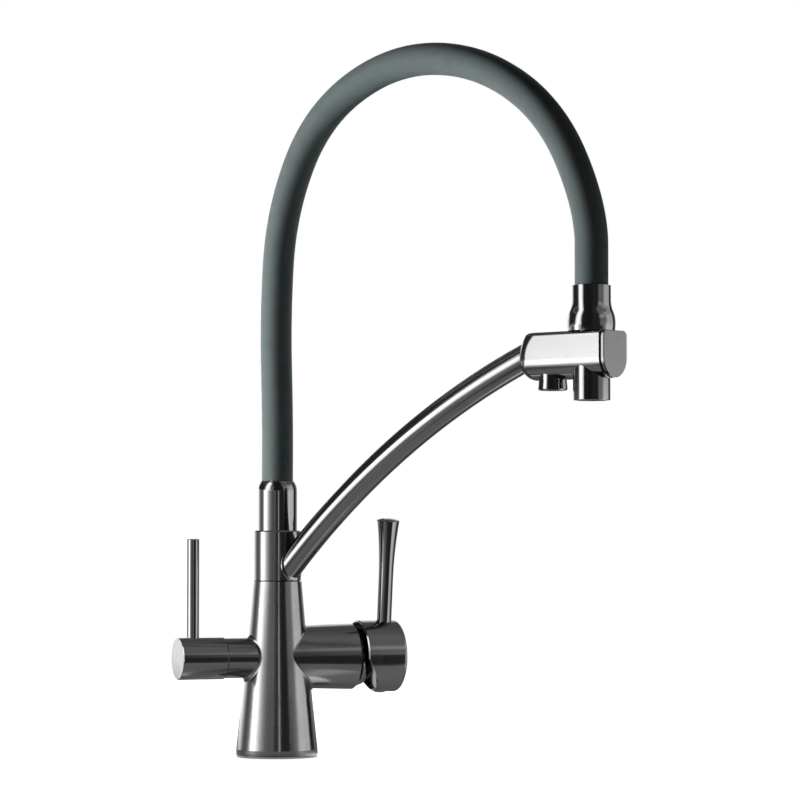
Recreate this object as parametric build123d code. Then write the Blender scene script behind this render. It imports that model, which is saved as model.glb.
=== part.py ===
from build123d import *
import os
from math import atan2, cos, pi, radians, sin, sqrt, tan

# Kitchen tap for mixed and for filtered water. Millimetres. The origin is the centre of the base on the
# worktop, +Z is up, the mixer valve points along +X, the filter valve along -X, and -Y is the front.

# Clearances that more than one joint uses
slide_fit = 0.05
loose_fit = 0.15
running_gap = 0.30
edge_break = 0.4
cut_past = 1.0
groove_ratio = 0.6

# Body casting
base_radius = 25.0
foot_height = 4.7
body_height = 107.3
body_top_radius = 15.1
body_hollow = 0.3
valve_height = 60.7
branch_fillet = 2.4

# Underside: gasket groove, hose sockets and stud socket
gasket_radius = 21.5
gasket_width = 2.2
gasket_height = 1.7
socket_offset = 7.5
hose_socket_radius = 4.5
hose_socket_depth = 12.0
stud_socket_radius = 3.4
stud_socket_depth = 14.0
waterway_radius = 3.0
filter_way_radius = 2.4

# Mixer valve housing, along +X
housing_root_radius = 18.7
housing_fillet = 2.0
housing_end_radius = 20.3
housing_end = 50.3
housing_chamfer = 2.2
pocket_radius = 17.65
pocket_floor = 21.0

# Mixer cartridge
cartridge_radius = 17.5
cartridge_wall = 1.5
cartridge_base_thickness = 4.0
port_offset = 7.0
inlet_port_rise = 5.0
outlet_port_drop = 4.0
inlet_port_radius = 2.6
outlet_port_radius = 3.0
port_seal_width = 1.2
port_seal_height = 1.0
fixed_disc_radius = 15.0
fixed_disc_thickness = 4.0
moving_disc_radius = 11.5
moving_disc_thickness = 3.5
mixing_recess_radius = 6.9
mixing_recess_drop = 4.0
mixing_recess_depth = 1.8
carrier_thickness = 5.25
rotor_radius = 10.5
rotor_flange_radius = 15.5
rotor_flange_thickness = 2.1
rotor_end = 52.0
shell_shoulder = 43.5
shell_end_wall = 2.4
shell_neck_radius = 12.5
shell_neck_length = 5.0
nut_thickness = 5.8
nut_slots = 6
nut_slot_width = 3.0
dome_radius = 19.0
dome_wall = 1.3
dome_mouth_radius = 15.0
dome_spigot_wall = 1.3

# Mixer lever stem, which tilts about its pin
tilt_pivot = 46.0
stem_width = 8.0
stem_heel = 3.5
stem_tip = 72.0
pivot_pin_radius = 1.5
pivot_pin_length = 19.0
tail_length = 9.5
tail_radius = 1.4
tail_ball_radius = 2.3
tail_clearance = 0.1
rotor_window_low = 7.8
rotor_window_high = 6.5

# Mixer cap and lever
mixer_rest_turn = 6.6
cap_radius = 22.2
cap_wall = 1.4
cap_rim = 52.4
cap_end = 78.6
cap_corner = 2.0
cap_crown = 0.5
cap_cavity_floor = 65.0
cap_slant = 25.5
cap_slant_start = 1.4
cap_rim_break = 0.6
mixer_lever_place = 69.4
mixer_lever_radius = 4.7
mixer_lever_top_radius = 7.2
mixer_lever_height = 86.2
mixer_lever_straight = 48.0
mixer_lever_crown = 1.2
mixer_lever_root = 14.0
cap_screw_place = 68.5
cap_screw_radius = 2.5
plug_radius = 3.25
plug_stand = 0.4
plug_sink = 1.5

# Filter valve, along -X
neck_radius = 12.25
neck_end = 34.8
filter_pocket_radius = 9.3
filter_pocket_floor = 20.0
headpart_nose_radius = 8.4
headpart_nose_end = 30.0
headpart_flange_radius = 11.0
headpart_flange_thickness = 2.8
headpart_neck_radius = 7.0
headpart_neck_end = 43.0
seat_seal_radius = 7.2
seat_seal_bore = 3.6
seat_seal_thickness = 1.8
filter_disc_radius = 7.2
filter_disc_thickness = 2.6
filter_disc_port_radius = 2.4
filter_disc_port_offset = 3.4
spindle_radius = 4.0
spindle_flange_radius = 6.8
spindle_flange_thickness = 1.8
spindle_end = 56.0
seal_section = 1.8
spindle_seal_section = 1.08

# Filter handle
drum_radius = 12.85
drum_end = 64.0
drum_cavity_radius = 11.4
drum_hub_start = 45.0
filter_lever_place = 54.3
filter_lever_radius = 3.8
filter_lever_height = 72.7
filter_lever_root = 8.5
drum_screw_place = 49.5
drum_screw_radius = 2.0

# Swivel
swivel_gap = 0.35
collar_radius = 14.75
collar_height = 30.95
collar_bore = 11.45
collar_top_break = 0.8
spigot_radius = 11.2
spigot_height = 24.0
spigot_root_radius = 10.4
spigot_root_depth = 12.0
riser_radius = 4.5
filter_riser_radius = 1.6
filter_riser_offset = 7.5
bush_height = 2.0
bush_wall = 1.2
ring_section = 1.8
lower_ring_rise = 4.4
upper_ring_rise = 16.8
annulus_low = 6.4
annulus_high = 14.2
annulus_radius = 9.6
catch_groove_rise = 19.95
catch_groove_width = 3.3
catch_groove_radius = 10.0
slide_ring_inner = 11.7
slide_ring_outer = 13.9
slide_ring_sink = 0.9
set_screw_radius = 1.45

# Spout, in its own plane: distance from the swivel axis and height above the worktop
spout_rest_angle = -61.5
spout_reach = 240.8
arm_radius = 8.0
arm_bore = 6.6
arm_root_drop = 2.15
arm_bow = 14.3
arm_end_rise = 18.5
arm_insert = 12.7
arm_seat_depth = 0.8
arm_lip_width = 1.2
arm_lip_stand = 0.4

# Hose and its ferrules
hose_radius = 9.6
hose_bore = 7.2
inner_hose_radius = 6.0
inner_hose_bore = 4.0
hose_bow = 0.9
hose_back_height = 273.3
hose_back_radius = 229.0
crown_reach = 114.0
crown_height = 419.1
hose_front_height = 281.1
hose_front_radius = 179.4
ferrule_radius = 12.15
ferrule_height = 30.4
ferrule_shoulder = 6.0
ferrule_lip_radius = 10.15
bell_neck_radius = 11.1
bell_radius = 13.7
bell_foot_radius = 13.4
bell_height = 25.8
bell_foot_height = 4.7
bell_curve_height = 13.0
hose_end_gap = 0.4
fitting_thread_radius = 9.0
fitting_thread_length = 5.6
fitting_flange_height = 6.0
fitting_stem_length = 15.0
fitting_bore = 2.8
crimp_wall = 0.8
crimp_length = 12.0

# Outlet head
head_bottom = 224.5
head_height = 27.3
head_width = 23.0
head_back_length = 47.5
head_front_length = 13.8
head_edge_radius = 3.0
head_nose_radius = 24.0
head_nose_level = 12.5
head_nose_edge = 9.0
plate_thickness = 1.6
plate_step = 0.3
plate_seam = 1.4
plate_seam_inset = 1.1
plate_boss_radius = 6.95
plate_boss_length = 2.2
nozzle_radius = 10.65
nozzle_bore = 9.3
nozzle_drop = 12.3
nozzle_lip = 1.2
nozzle_lip_bore = 8.8
nozzle_throat = 7.5
aerator_height = 9.0
aerator_wall = 1.1
aerator_floor = 1.2
aerator_hole_radius = 0.62
aerator_hole_pitch = 2.15
aerator_rings = 3
screen_thickness = 0.4
screen_pitch = 1.2
jet_disc_thickness = 2.0
washer_thickness = 1.6
washer_bore = 6.5
outlet_spacing = 27.7
filtered_top_radius = 8.1
filtered_radius = 8.6
filtered_drop = 5.9
filtered_bore = 4.5
filtered_thread_radius = 6.4
filtered_thread_length = 4.4
filtered_insert_radius = 6.9
filtered_insert_height = 2.4
filtered_insert_sink = 0.6
filtered_seat_sink = 1.5

# Heights and places that follow from the sizes above
collar_bottom = body_height + swivel_gap
collar_top = collar_bottom + collar_height
arm_root_height = collar_bottom - arm_root_drop
spigot_top = body_height + spigot_height
collar_bore_top = spigot_top + running_gap
ferrule_top = collar_top + ferrule_height
head_top = head_bottom + head_height
head_axis = head_bottom + head_width / 2
head_start = spout_reach - head_back_length
head_end = spout_reach + head_front_length
bell_top = head_top + bell_height
inner_hose_start = collar_top + fitting_flange_height
inner_hose_finish = head_top + fitting_flange_height
hose_start = inner_hose_start + hose_end_gap
hose_finish = inner_hose_finish + hose_end_gap
filtered_reach = spout_reach - outlet_spacing
disc_start = pocket_floor + cartridge_base_thickness
moving_disc_start = disc_start + fixed_disc_thickness + slide_fit
carrier_start = moving_disc_start + moving_disc_thickness
carrier_end = carrier_start + carrier_thickness
rotor_start = carrier_end + running_gap
nut_end = shell_shoulder + nut_thickness
stem_bore = stem_width + 2 * loose_fit


def rod_z(radius, low, high, x=0.0, y=0.0):
    """A round bar standing between two heights."""
    bar = Cylinder(radius, high - low, align=(Align.CENTER, Align.CENTER, Align.MIN))
    return Pos(x, y, low) * bar


def ring_z(outer, inner, low, high, x=0.0, y=0.0):
    """A plain ring about a vertical axis."""
    return rod_z(outer, low, high, x, y) - rod_z(inner, low, high, x, y)


def rod_x(radius, start, end, y=0.0, z=0.0):
    """A round bar lying between two places along X."""
    bar = Cylinder(radius, end - start, align=(Align.CENTER, Align.CENTER, Align.MIN))
    return Pos(start, y, z) * Rot(0, 90, 0) * bar


def ring_x(outer, inner, start, end, y=0.0, z=0.0):
    """A plain ring about an axis along X."""
    return rod_x(outer, start, end, y, z) - rod_x(inner, start, end, y, z)


def turned_z(*edges):
    """A solid turned about Z from a closed outline in the XZ plane."""
    return revolve(Face(Wire(edges)), Axis.Z)


def turned_x(*edges):
    """A solid turned about X from a closed outline in the XZ plane."""
    return revolve(Face(Wire(edges)), Axis.X)


def flat(*points):
    """Straight edges through points given as (along X, along Z)."""
    return Polyline(*[(x, 0, z) for x, z in points]).edges()


def bowed(start, end, bow):
    """An arc between two places (along X, along Z) that stands off its chord to the left of its run."""
    across = end[0] - start[0]
    rise = end[1] - start[1]
    length = sqrt(across ** 2 + rise ** 2)
    middle = ((start[0] + end[0]) / 2 - bow * rise / length, 0, (start[1] + end[1]) / 2 + bow * across / length)
    return ThreePointArc((start[0], 0, start[1]), middle, (end[0], 0, end[1]))


def seal_ring_z(outer, section, height):
    """A round seal about Z."""
    return Pos(0, 0, height) * Torus(outer - section / 2, section / 2)


def seal_ring_x(outer, section, place):
    """A round seal about X."""
    return Pos(place, 0, 0) * Rot(0, 90, 0) * Torus(outer - section / 2, section / 2)


def socket_screw(radius, length, socket):
    """A grub screw along Z, its point at z = 0 and a hexagon socket in its outer end."""
    screw = rod_z(radius, radius / 2, length) + Pos(0, 0, radius / 4) * Cone(radius / 2, radius, radius / 2)
    key = extrude(RegularPolygon(socket, 6), socket * 1.6)
    return screw - Pos(0, 0, length - socket * 1.6) * key


def at_valve(piece):
    """Lifts a piece modelled about the X axis to the height of the valves."""
    return Pos(0, 0, valve_height) * piece


def at_mixer(piece):
    """Turns a moving piece of the mixer about X to where its lever stands at rest."""
    return at_valve(Rot(mixer_rest_turn, 0, 0) * piece)


def at_filter_valve(piece):
    """Turns a piece modelled outwards along X to the filter side and lifts it."""
    return Pos(0, 0, valve_height) * Rot(0, 0, 180) * piece


# Body


def make_body_casting():
    cone = turned_z(
        *flat((body_top_radius, body_height), (0, body_height), (0, 0), (base_radius, 0)),
        *flat((base_radius, 0), (base_radius, foot_height)),
        bowed((base_radius, foot_height), (body_top_radius, body_height), body_hollow),
    )
    housing = at_valve(turned_x(*flat(
        (0, 0), (0, housing_root_radius), (housing_end - housing_chamfer, housing_end_radius),
        (housing_end, housing_end_radius - housing_chamfer * 0.75), (housing_end, 0), (0, 0),
    )))
    neck = at_filter_valve(rod_x(neck_radius, 0, neck_end))
    casting = fillet(branch_seam(cone + neck, -1), branch_fillet)
    casting = fillet(branch_seam(casting + housing, 1), housing_fillet)
    casting -= ring_z(gasket_radius + gasket_width / 2 + slide_fit,
                      gasket_radius - gasket_width / 2 - slide_fit, 0, gasket_height + slide_fit)
    casting -= rod_z(spigot_root_radius + slide_fit, body_height - spigot_root_depth, body_height)
    casting -= ring_z(slide_ring_outer + slide_fit, slide_ring_inner - slide_fit,
                      body_height - slide_ring_sink, body_height)
    casting -= at_valve(rod_x(pocket_radius, pocket_floor, housing_end))
    casting -= at_filter_valve(rod_x(filter_pocket_radius, filter_pocket_floor, neck_end))
    return casting - make_waterways()


def branch_seam(casting, side):
    """Edges where a branch on this side of the body leaves the cone."""
    return [edge for edge in casting.edges().filter_by(GeomType.BSPLINE) if 0 < side * edge.center().X < base_radius]


def make_waterways():
    """Sockets in the underside and the drilled ways to the valves and up to the swivel."""
    way = waterway_radius
    inlet_level = valve_height + inlet_port_rise
    outlet_level = valve_height - outlet_port_drop
    filter_level = valve_height + headpart_nose_radius
    riser_end = body_height - spigot_root_depth
    cuts = rod_z(stud_socket_radius, 0, stud_socket_depth, -socket_offset, socket_offset)
    for x, y in ((socket_offset, -socket_offset), (socket_offset, socket_offset),
                 (-socket_offset, -socket_offset)):
        cuts += rod_z(hose_socket_radius, 0, hose_socket_depth, x, y)
    for side in (-1, 1):
        cuts += rod_z(way, hose_socket_depth, inlet_level, socket_offset, side * socket_offset)
        cuts += rod_x(inlet_port_radius, socket_offset, pocket_floor, side * port_offset, inlet_level)
    cuts += rod_x(outlet_port_radius, 0, pocket_floor, 0, outlet_level)
    cuts += rod_z(riser_radius, outlet_level, riser_end)
    cuts += rod_z(filter_way_radius, hose_socket_depth, valve_height, -socket_offset, -socket_offset)
    cross = Rot(-90, 0, 0) * rod_z(filter_way_radius, -socket_offset, 0)
    cuts += Pos(-socket_offset, 0, valve_height) * cross
    cuts += at_filter_valve(rod_x(seat_seal_bore, socket_offset, filter_pocket_floor))
    cuts += rod_x(filter_riser_radius, -filter_pocket_floor - way, -filter_riser_offset, 0, filter_level)
    cuts += rod_z(filter_riser_radius, filter_level, riser_end, -filter_riser_offset)
    return cuts


def make_base_gasket():
    half = gasket_width / 2
    return ring_z(gasket_radius + half, gasket_radius - half, 0, gasket_height)


# Swivel: the fixed spigot, its rings, and the collar that turns on it


def make_swivel_spigot():
    root = rod_z(spigot_root_radius, body_height - spigot_root_depth, body_height)
    spigot = root + rod_z(spigot_radius, body_height, spigot_top)
    for rise in (lower_ring_rise, upper_ring_rise):
        level = body_height + rise
        half = groove_ratio * ring_section
        spigot -= ring_z(spigot_radius, spigot_seat(ring_section), level - half, level + half)
    spigot -= ring_z(spigot_radius, annulus_radius, body_height + annulus_low, body_height + annulus_high)
    groove = body_height + catch_groove_rise
    half = catch_groove_width / 2
    spigot -= ring_z(spigot_radius, catch_groove_radius, groove - half, groove + half)
    bush_seat = spigot_seat(bush_wall)
    spigot -= ring_z(spigot_radius, bush_seat, body_height + running_gap,
                     body_height + running_gap + bush_height)
    spigot -= ring_z(spigot_radius, bush_seat, spigot_top - bush_height, spigot_top)
    spigot -= rod_z(riser_radius, body_height - spigot_root_depth, spigot_top)
    port = body_height + (annulus_low + annulus_high) / 2
    spigot -= rod_z(filter_riser_radius, body_height - spigot_root_depth, port, -filter_riser_offset)
    return spigot - rod_x(filter_riser_radius, -spigot_radius, -filter_riser_offset, 0, port)


def spigot_seat(wall):
    """Floor of a groove that holds a ring of this wall, flush with the running surface."""
    return collar_bore - slide_fit - wall - slide_fit


def make_swivel_seals():
    outer = collar_bore - slide_fit
    return [seal_ring_z(outer, ring_section, body_height + rise) for rise in (lower_ring_rise, upper_ring_rise)]


def make_swivel_bushes():
    outer = collar_bore - slide_fit
    low = body_height + running_gap
    return [ring_z(outer, outer - bush_wall, low, low + bush_height),
            ring_z(outer, outer - bush_wall, spigot_top - bush_height, spigot_top)]


def make_slide_ring():
    top = body_height + swivel_gap - 2 * slide_fit
    return ring_z(slide_ring_outer, slide_ring_inner, body_height - slide_ring_sink, top)


def make_collar():
    collar = rod_z(collar_radius, collar_bottom, collar_top)
    low_rim, top_rim = collar.edges().filter_by(GeomType.CIRCLE).sort_by(Axis.Z)
    collar = chamfer(low_rim, edge_break)
    top_rim = collar.edges().filter_by(GeomType.CIRCLE).sort_by(Axis.Z)[-1]
    collar = chamfer(top_rim, collar_top_break)
    collar += arm_bar(arm_radius + arm_lip_width) & rod_z(collar_radius + arm_lip_stand, collar_bottom, collar_top)
    collar -= rod_z(collar_bore, collar_bottom, collar_bore_top)
    collar -= rod_z(riser_radius, collar_bore_top, collar_top)
    collar -= rod_z(fitting_thread_radius + slide_fit, collar_top - fitting_thread_length, collar_top)
    collar -= arm_bar(arm_radius + slide_fit) - rod_z(collar_radius - arm_seat_depth, 0, collar_top)
    collar -= arm_bar(waterway_radius) & rod_z(collar_radius, 0, collar_top)
    level = body_height + catch_groove_rise
    return collar - rod_x(set_screw_radius + slide_fit, -collar_radius, cut_past - collar_bore, 0, level)


def make_collar_screw():
    length = collar_radius - edge_break - catch_groove_radius - running_gap
    level = body_height + catch_groove_rise
    tip = -catch_groove_radius - running_gap
    return Pos(tip, 0, level) * Rot(0, -90, 0) * socket_screw(set_screw_radius, length, 0.9)


# Spout arm and hose, in the plane of the spout


def arm_line():
    """Centre line of the arm, one arc from the swivel axis to its seat in the head."""
    return bowed((0, arm_root_height), (head_start + arm_insert, head_bottom + arm_end_rise), arm_bow)


def arm_bar(radius):
    """A solid bar that follows the arm."""
    line = arm_line()
    start = Plane(origin=line @ 0, z_dir=line % 0)
    return sweep(start * Circle(radius), path=line)


def make_arm():
    tube = arm_bar(arm_radius) - arm_bar(arm_bore)
    return tube - rod_z(collar_radius - arm_seat_depth + slide_fit, 0, ferrule_top)


def s_bend(start, end):
    """Two equal arcs that join two upright lines, from start to end, both (along X, along Z)."""
    side = end[0] - start[0]
    rise = end[1] - start[1]
    middle = ((start[0] + end[0]) / 2, 0, (start[1] + end[1]) / 2)
    upright = (0, 0, 1 if rise > 0 else -1)
    first = TangentArc((start[0], 0, start[1]), middle, tangent=upright)
    return [first, TangentArc(middle, (start[0] + side, 0, start[1] + rise), tangent=first % 1)]


def quarter_bend(upright_end, level_end, radius):
    """Two arcs from an upright tangent to a level one. The first has the radius given."""
    across = abs(level_end[0] - upright_end[0])
    rise = level_end[1] - upright_end[1]
    side = 1 if level_end[0] > upright_end[0] else -1
    second = (2 * across * radius - across ** 2 - rise ** 2) / (2 * (radius - rise))
    turn = atan2(rise - second, radius - across)
    knee = (upright_end[0] + side * radius * (1 - cos(turn)), 0, upright_end[1] + radius * sin(turn))
    first = TangentArc((upright_end[0], 0, upright_end[1]), knee, tangent=(0, 0, 1))
    return [first, TangentArc(knee, (level_end[0], 0, level_end[1]), tangent=first % 1)]


def hose_line(start, finish):
    """Centre line of the hose between two heights inside its ferrules."""
    back = (-hose_bow, hose_back_height)
    crown = (crown_reach, crown_height)
    front = (spout_reach, hose_front_height)
    rise = quarter_bend(back, crown, hose_back_radius)
    fall = quarter_bend(front, crown, hose_front_radius)
    edges = [Line((0, 0, start), (0, 0, ferrule_top))]
    edges += s_bend((0, ferrule_top), back) + rise + fall
    edges.append(Line((spout_reach, 0, hose_front_height), (spout_reach, 0, finish)))
    return Wire(edges)


def hose_tube(radius, bore, start, finish):
    line = hose_line(start, finish)
    section = Plane.XY.offset(start) * (Circle(radius) - Circle(bore))
    return sweep(section, path=line)


def make_lower_ferrule():
    shoulder = ferrule_top - ferrule_shoulder
    bore = hose_radius + loose_fit
    arc = TangentArc((ferrule_radius, 0, shoulder), (ferrule_lip_radius, 0, ferrule_top), tangent=(0, 0, 1))
    sleeve = turned_z(
        *flat((ferrule_lip_radius, ferrule_top), (bore, ferrule_top), (bore, collar_top),
              (ferrule_radius, collar_top), (ferrule_radius, shoulder)),
        arc,
    )
    return sleeve


def make_bell():
    bore = hose_radius + loose_fit
    foot = head_top + bell_foot_height
    neck = foot + bell_curve_height
    profile = flat((bore, head_top), (bore, bell_top), (bell_neck_radius, bell_top), (bell_neck_radius, neck))
    profile += s_bend((bell_neck_radius, neck), (bell_radius, foot))
    profile.append(TangentArc((bell_radius, 0, foot), (bell_foot_radius, 0, head_top), tangent=(0, 0, -1)))
    profile += flat((bell_foot_radius, head_top), (bore, head_top))
    return turned_z(*profile)


def make_fitting(seat, away, x=0.0):
    """Hose fitting on a seat at this height. away is 1 where the hose goes up from it."""
    flange = hose_radius + loose_fit - slide_fit
    stem = inner_hose_bore - slide_fit
    thread_end = seat - away * fitting_thread_length
    flange_end = seat + away * fitting_flange_height
    stem_end = flange_end + away * fitting_stem_length
    piece = rod_z(fitting_thread_radius, min(thread_end, seat), max(thread_end, seat), x)
    piece += rod_z(flange, min(seat, flange_end), max(seat, flange_end), x)
    piece += rod_z(stem, min(flange_end, stem_end), max(flange_end, stem_end), x)
    return piece - rod_z(fitting_bore, min(thread_end, stem_end), max(thread_end, stem_end), x)


def make_crimp(seat, x=0.0):
    inner = inner_hose_radius + slide_fit
    return ring_z(inner + crimp_wall, inner, seat, seat + crimp_length, x)


# Outlet head, in the plane of the spout


def head_section(place, inset=0.0, corner=0.0):
    """The D outline of the head, flat on top, at a place along the spout."""
    half = head_width / 2 - inset
    top = head_top - inset
    low = head_bottom + inset
    face = Face(Wire([
        Line((place, -half, top), (place, -half, head_axis)),
        ThreePointArc((place, -half, head_axis), (place, 0, low), (place, half, head_axis)),
        Line((place, half, head_axis), (place, half, top)),
        Line((place, half, top), (place, -half, top)),
    ]))
    if corner == 0.0:
        return face
    corners = face.vertices().group_by(Axis.Z)[-1]
    return face.fillet_2d(corner, corners)


def make_head():
    block = extrude(head_section(head_start), head_end - head_start, dir=(1, 0, 0)) & nose_bar()
    block = fillet(block.faces().sort_by(Axis.X)[0].edges(), head_nose_edge)
    ridges = block.edges().filter_by(Axis.X).group_by(Axis.Z)[-1]
    block = fillet(ridges, head_edge_radius)
    block = chamfer(block.faces().sort_by(Axis.X)[-1].edges(), edge_break)
    block -= rod_z(nozzle_radius + slide_fit, head_bottom, head_axis, spout_reach)
    block -= rod_z(riser_radius, head_axis, head_top, spout_reach)
    thread = head_top - fitting_thread_length
    block -= rod_z(fitting_thread_radius + slide_fit, thread, head_top, spout_reach)
    collar = head_bottom + head_width / 2 - saddle_depth()
    block -= rod_z(filtered_top_radius + slide_fit, head_bottom, collar, filtered_reach)
    block -= rod_z(filtered_thread_radius + slide_fit, collar, collar + filtered_thread_length, filtered_reach)
    arm_level = head_bottom + arm_end_rise
    block -= rod_z(filtered_bore, collar, arm_level, filtered_reach)
    block -= arm_bar(arm_radius + slide_fit)
    block -= rod_x(filtered_bore, head_start + arm_insert - cut_past, filtered_reach, 0, arm_level - cut_past)
    return block - rod_x(plate_boss_radius + slide_fit, head_end - plate_boss_length - slide_fit, head_end,
                         0, head_axis)


def nose_bar():
    """A bar across the spout, round at its back, that bows the head's back end."""
    centre = head_start + head_nose_radius
    length = head_end - centre
    bar = Rot(90, 0, 0) * Cylinder(head_nose_radius, 2 * head_width)
    bar += Pos(length / 2, 0, 0) * Box(length, 2 * head_width, 2 * head_nose_radius)
    return Pos(centre, 0, head_bottom + head_nose_level) * bar


def saddle_depth():
    """Depth below the head's axis where the filtered outlet's sleeve leaves the round underside."""
    return sqrt((head_width / 2) ** 2 - filtered_top_radius ** 2) - filtered_seat_sink


def make_end_plate():
    face = head_end + plate_seam
    plate = extrude(head_section(face, plate_step, head_edge_radius), plate_thickness, dir=(1, 0, 0))
    rim = plate.faces().sort_by(Axis.X)[-1].outer_wire().edges()
    plate = chamfer(rim, edge_break)
    plate += extrude(head_section(head_end, plate_seam_inset, head_edge_radius), plate_seam, dir=(1, 0, 0))
    return plate + rod_x(plate_boss_radius, head_end - plate_boss_length, head_end, 0, head_axis)


def make_nozzle():
    low = head_bottom - nozzle_drop
    step = low + nozzle_lip + aerator_height + washer_thickness
    return turned_z(*flat(
        (nozzle_lip_bore, low), (nozzle_radius - edge_break, low), (nozzle_radius, low + edge_break),
        (nozzle_radius, head_axis), (nozzle_throat, head_axis), (nozzle_throat, step),
        (nozzle_bore, step), (nozzle_bore, low + nozzle_lip), (nozzle_lip_bore, low + nozzle_lip),
        (nozzle_lip_bore, low),
    ))


def hole_places(rings, pitch):
    """Hexagonal pattern of places: one in the middle and rings of six, twelve and so on about it."""
    places = []
    for row in range(-rings, rings + 1):
        count = 2 * rings + 1 - abs(row)
        for column in range(count):
            places.append((pitch * (column - (count - 1) / 2), pitch * row * sqrt(3) / 2))
    return places


def make_aerator_body():
    low = head_bottom - nozzle_drop + nozzle_lip
    outer = nozzle_bore - slide_fit
    cup = rod_z(outer, low, low + aerator_height)
    cup -= rod_z(outer - aerator_wall, low + aerator_floor, low + aerator_height)
    holes = [Pos(x, y) * Circle(aerator_hole_radius) for x, y in hole_places(aerator_rings, aerator_hole_pitch)]
    return cup - Pos(0, 0, low) * extrude(Sketch() + holes, aerator_floor)


def make_aerator_screens():
    low = head_bottom - nozzle_drop + nozzle_lip + aerator_floor
    outer = nozzle_bore - aerator_wall - 2 * slide_fit
    return [rod_z(outer, low + n * screen_pitch + slide_fit, low + n * screen_pitch + slide_fit + screen_thickness)
            for n in range(2)]


def make_jet_disc():
    top = head_bottom - nozzle_drop + nozzle_lip + aerator_height
    disc = rod_z(nozzle_bore - aerator_wall - 2 * slide_fit, top - jet_disc_thickness, top)
    holes = [Pos(x, y) * Circle(aerator_hole_radius) for x, y in hole_places(1, 2.2 * aerator_hole_pitch)]
    return disc - Pos(0, 0, top - jet_disc_thickness) * extrude(Sketch() + holes, jet_disc_thickness)


def make_aerator_washer():
    low = head_bottom - nozzle_drop + nozzle_lip + aerator_height
    return ring_z(nozzle_bore - slide_fit, washer_bore, low, low + washer_thickness)


def make_filtered_outlet():
    low = head_bottom - filtered_drop
    seat = head_axis - saddle_depth()
    pocket = low + filtered_insert_sink + filtered_insert_height + washer_thickness / 2
    return turned_z(*flat(
        (filtered_insert_radius + slide_fit, low), (filtered_radius - 2 * edge_break, low),
        (filtered_radius, low + 2 * edge_break), (filtered_top_radius, head_bottom),
        (filtered_top_radius, seat), (filtered_thread_radius, seat),
        (filtered_thread_radius, seat + filtered_thread_length), (filtered_bore, seat + filtered_thread_length),
        (filtered_bore, pocket), (filtered_insert_radius + slide_fit, pocket),
        (filtered_insert_radius + slide_fit, low),
    ))


def make_filtered_insert():
    low = head_bottom - filtered_drop + filtered_insert_sink
    disc = rod_z(filtered_insert_radius, low, low + filtered_insert_height)
    holes = [Pos(x, y) * Circle(2 * aerator_hole_radius) for x, y in hole_places(1, 1.9 * aerator_hole_pitch)]
    return disc - Pos(0, 0, low) * extrude(Sketch() + holes, filtered_insert_height)


def make_filtered_washer():
    low = head_bottom - filtered_drop + filtered_insert_sink + filtered_insert_height
    return ring_z(filtered_insert_radius, filtered_bore, low, low + washer_thickness / 2)


# Mixer cartridge, about the X axis


def port_places():
    """Inlet, inlet and outlet: across, up and radius."""
    return ((-port_offset, inlet_port_rise, inlet_port_radius),
            (port_offset, inlet_port_rise, inlet_port_radius),
            (0.0, -outlet_port_drop, outlet_port_radius))


def make_cartridge_base():
    base = rod_x(cartridge_radius, pocket_floor, disc_start)
    for y, z, radius in port_places():
        base -= rod_x(radius, pocket_floor, disc_start, y, z)
        base -= rod_x(radius + port_seal_width + slide_fit, pocket_floor, pocket_floor + port_seal_height, y, z)
    return base


def make_port_seals():
    return [ring_x(radius + port_seal_width, radius, pocket_floor, pocket_floor + port_seal_height, y, z)
            for y, z, radius in port_places()]


def make_fixed_disc():
    disc = rod_x(fixed_disc_radius, disc_start, disc_start + fixed_disc_thickness)
    for y, z, radius in port_places():
        disc -= rod_x(radius, disc_start, disc_start + fixed_disc_thickness, y, z)
    return disc


def make_cartridge_shell():
    inner = cartridge_radius - cartridge_wall
    neck_end_face = shell_shoulder + shell_neck_length
    bore = rotor_radius + slide_fit
    return turned_x(*flat(
        (disc_start, inner), (disc_start, cartridge_radius), (shell_shoulder, cartridge_radius),
        (shell_shoulder, shell_neck_radius), (neck_end_face, shell_neck_radius), (neck_end_face, bore),
        (shell_shoulder - shell_end_wall, bore), (shell_shoulder - shell_end_wall, inner), (disc_start, inner),
    ))


def make_nut():
    nut = ring_x(pocket_radius - slide_fit, shell_neck_radius + loose_fit, shell_shoulder, nut_end)
    slot = Pos(nut_end, 0, pocket_radius) * Box(nut_thickness, nut_slot_width, nut_thickness)
    for n in range(nut_slots):
        nut -= Rot(360 / nut_slots * n, 0, 0) * slot
    return nut


def make_dome_ring():
    """A zone of a ball about the tilt pivot, so that the cap clears it at every tilt."""
    outer_start, outer_end, outer = dome_arc(dome_radius)
    inner_start, inner_end, inner = dome_arc(dome_radius - dome_wall)
    dome = turned_x(outer, inner, *flat(inner_start, outer_start), *flat(inner_end, outer_end))
    spigot = pocket_radius - slide_fit
    return dome + ring_x(spigot, spigot - dome_spigot_wall, nut_end, housing_end)


def dome_arc(radius):
    """The two ends of an arc about the tilt pivot, from the housing to the dome's mouth, and the arc."""
    start = (housing_end, sqrt(radius ** 2 - (housing_end - tilt_pivot) ** 2))
    end = (tilt_pivot + sqrt(radius ** 2 - dome_mouth_radius ** 2), dome_mouth_radius)
    turn = (atan2(start[1], start[0] - tilt_pivot) + atan2(end[1], end[0] - tilt_pivot)) / 2
    middle = (tilt_pivot + radius * cos(turn), 0, radius * sin(turn))
    return start, end, ThreePointArc((start[0], 0, start[1]), middle, (end[0], 0, end[1]))


def make_moving_disc():
    disc = rod_x(moving_disc_radius, moving_disc_start, moving_disc_start + moving_disc_thickness)
    return disc - rod_x(mixing_recess_radius, moving_disc_start, moving_disc_start + mixing_recess_depth,
                        0, -mixing_recess_drop)


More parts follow.
